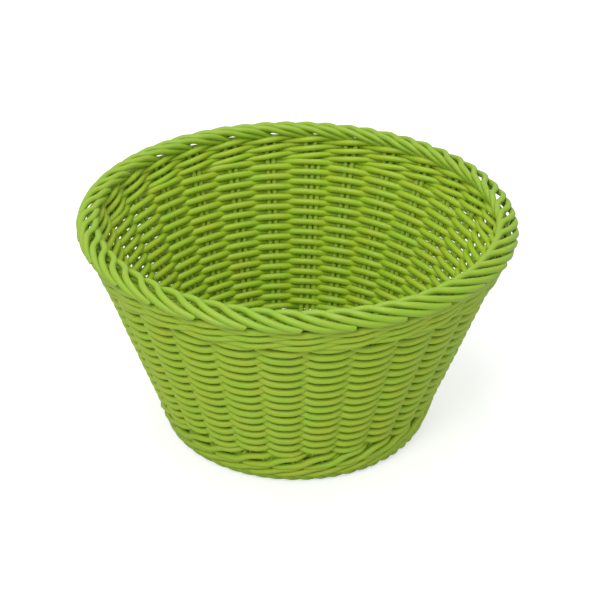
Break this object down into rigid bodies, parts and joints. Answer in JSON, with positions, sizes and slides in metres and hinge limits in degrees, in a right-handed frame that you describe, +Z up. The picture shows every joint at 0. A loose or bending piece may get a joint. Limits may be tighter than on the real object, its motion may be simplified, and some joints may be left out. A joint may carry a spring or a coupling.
{
  "type": "table basket",
  "caption": "Round flared table basket woven from lime green plastic strands, with a rolled rim border, a roped foot and an open top.",
  "frame": {"origin": "on the table, at the centre of the foot", "axes": "+Z up through the open top, the pictured front at -Y"},
  "size_m": [0.23, 0.23, 0.1245],
  "materials": {
    "stake_strand": "satin extruded polypropylene strand",
    "weave_strand": "satin extruded polypropylene strand",
    "border_strand": "satin extruded polypropylene strand"
  },
  "bodies": {
    "root": {"stake_pair_01": "stake_strand", "stake_pair_02": "stake_strand", "stake_pair_03": "stake_strand", "stake_pair_04": "stake_strand", "stake_pair_05": "stake_strand", "stake_pair_06": "stake_strand", "stake_pair_07": "stake_strand", "stake_pair_08": "stake_strand", "stake_pair_09": "stake_strand", "stake_pair_10": "stake_strand", "stake_pair_11": "stake_strand", "stake_pair_12": "stake_strand", "stake_pair_13": "stake_strand", "stake_pair_14": "stake_strand", "stake_pair_15": "stake_strand", "stake_pair_16": "stake_strand", "stake_pair_17": "stake_strand", "stake_pair_18": "stake_strand", "stake_pair_19": "stake_strand", "stake_pair_20": "stake_strand", "stake_pair_21": "stake_strand", "stake_pair_22": "stake_strand", "stake_pair_23": "stake_strand", "stake_pair_24": "stake_strand", "stake_pair_25": "stake_strand", "stake_pair_26": "stake_strand", "stake_pair_27": "stake_strand", "stake_pair_28": "stake_strand", "base_stick_lower_1": "stake_strand", "base_stick_lower_2": "stake_strand", "base_stick_lower_3": "stake_strand", "base_stick_lower_4": "stake_strand", "base_stick_upper_1": "stake_strand", "base_stick_upper_2": "stake_strand", "base_stick_upper_3": "stake_strand", "base_tie": "weave_strand", "base_course_1": "weave_strand", "base_course_2": "weave_strand", "base_course_3": "weave_strand", "base_course_4": "weave_strand", "foot_border": "border_strand", "foot_wale": "weave_strand", "wall_course_01": "weave_strand", "wall_course_02": "weave_strand", "wall_course_03": "weave_strand", "wall_course_04": "weave_strand", "wall_course_05": "weave_strand", "wall_course_06": "weave_strand", "wall_course_07": "weave_strand", "wall_course_08": "weave_strand", "wall_course_09": "weave_strand", "wall_course_10": "weave_strand", "wall_course_11": "weave_strand", "wall_course_12": "weave_strand", "wall_course_13": "weave_strand", "wall_course_14": "weave_strand", "wall_course_15": "weave_strand", "top_wale": "weave_strand", "rim_border": "border_strand"}
  },
  "joints": []
}
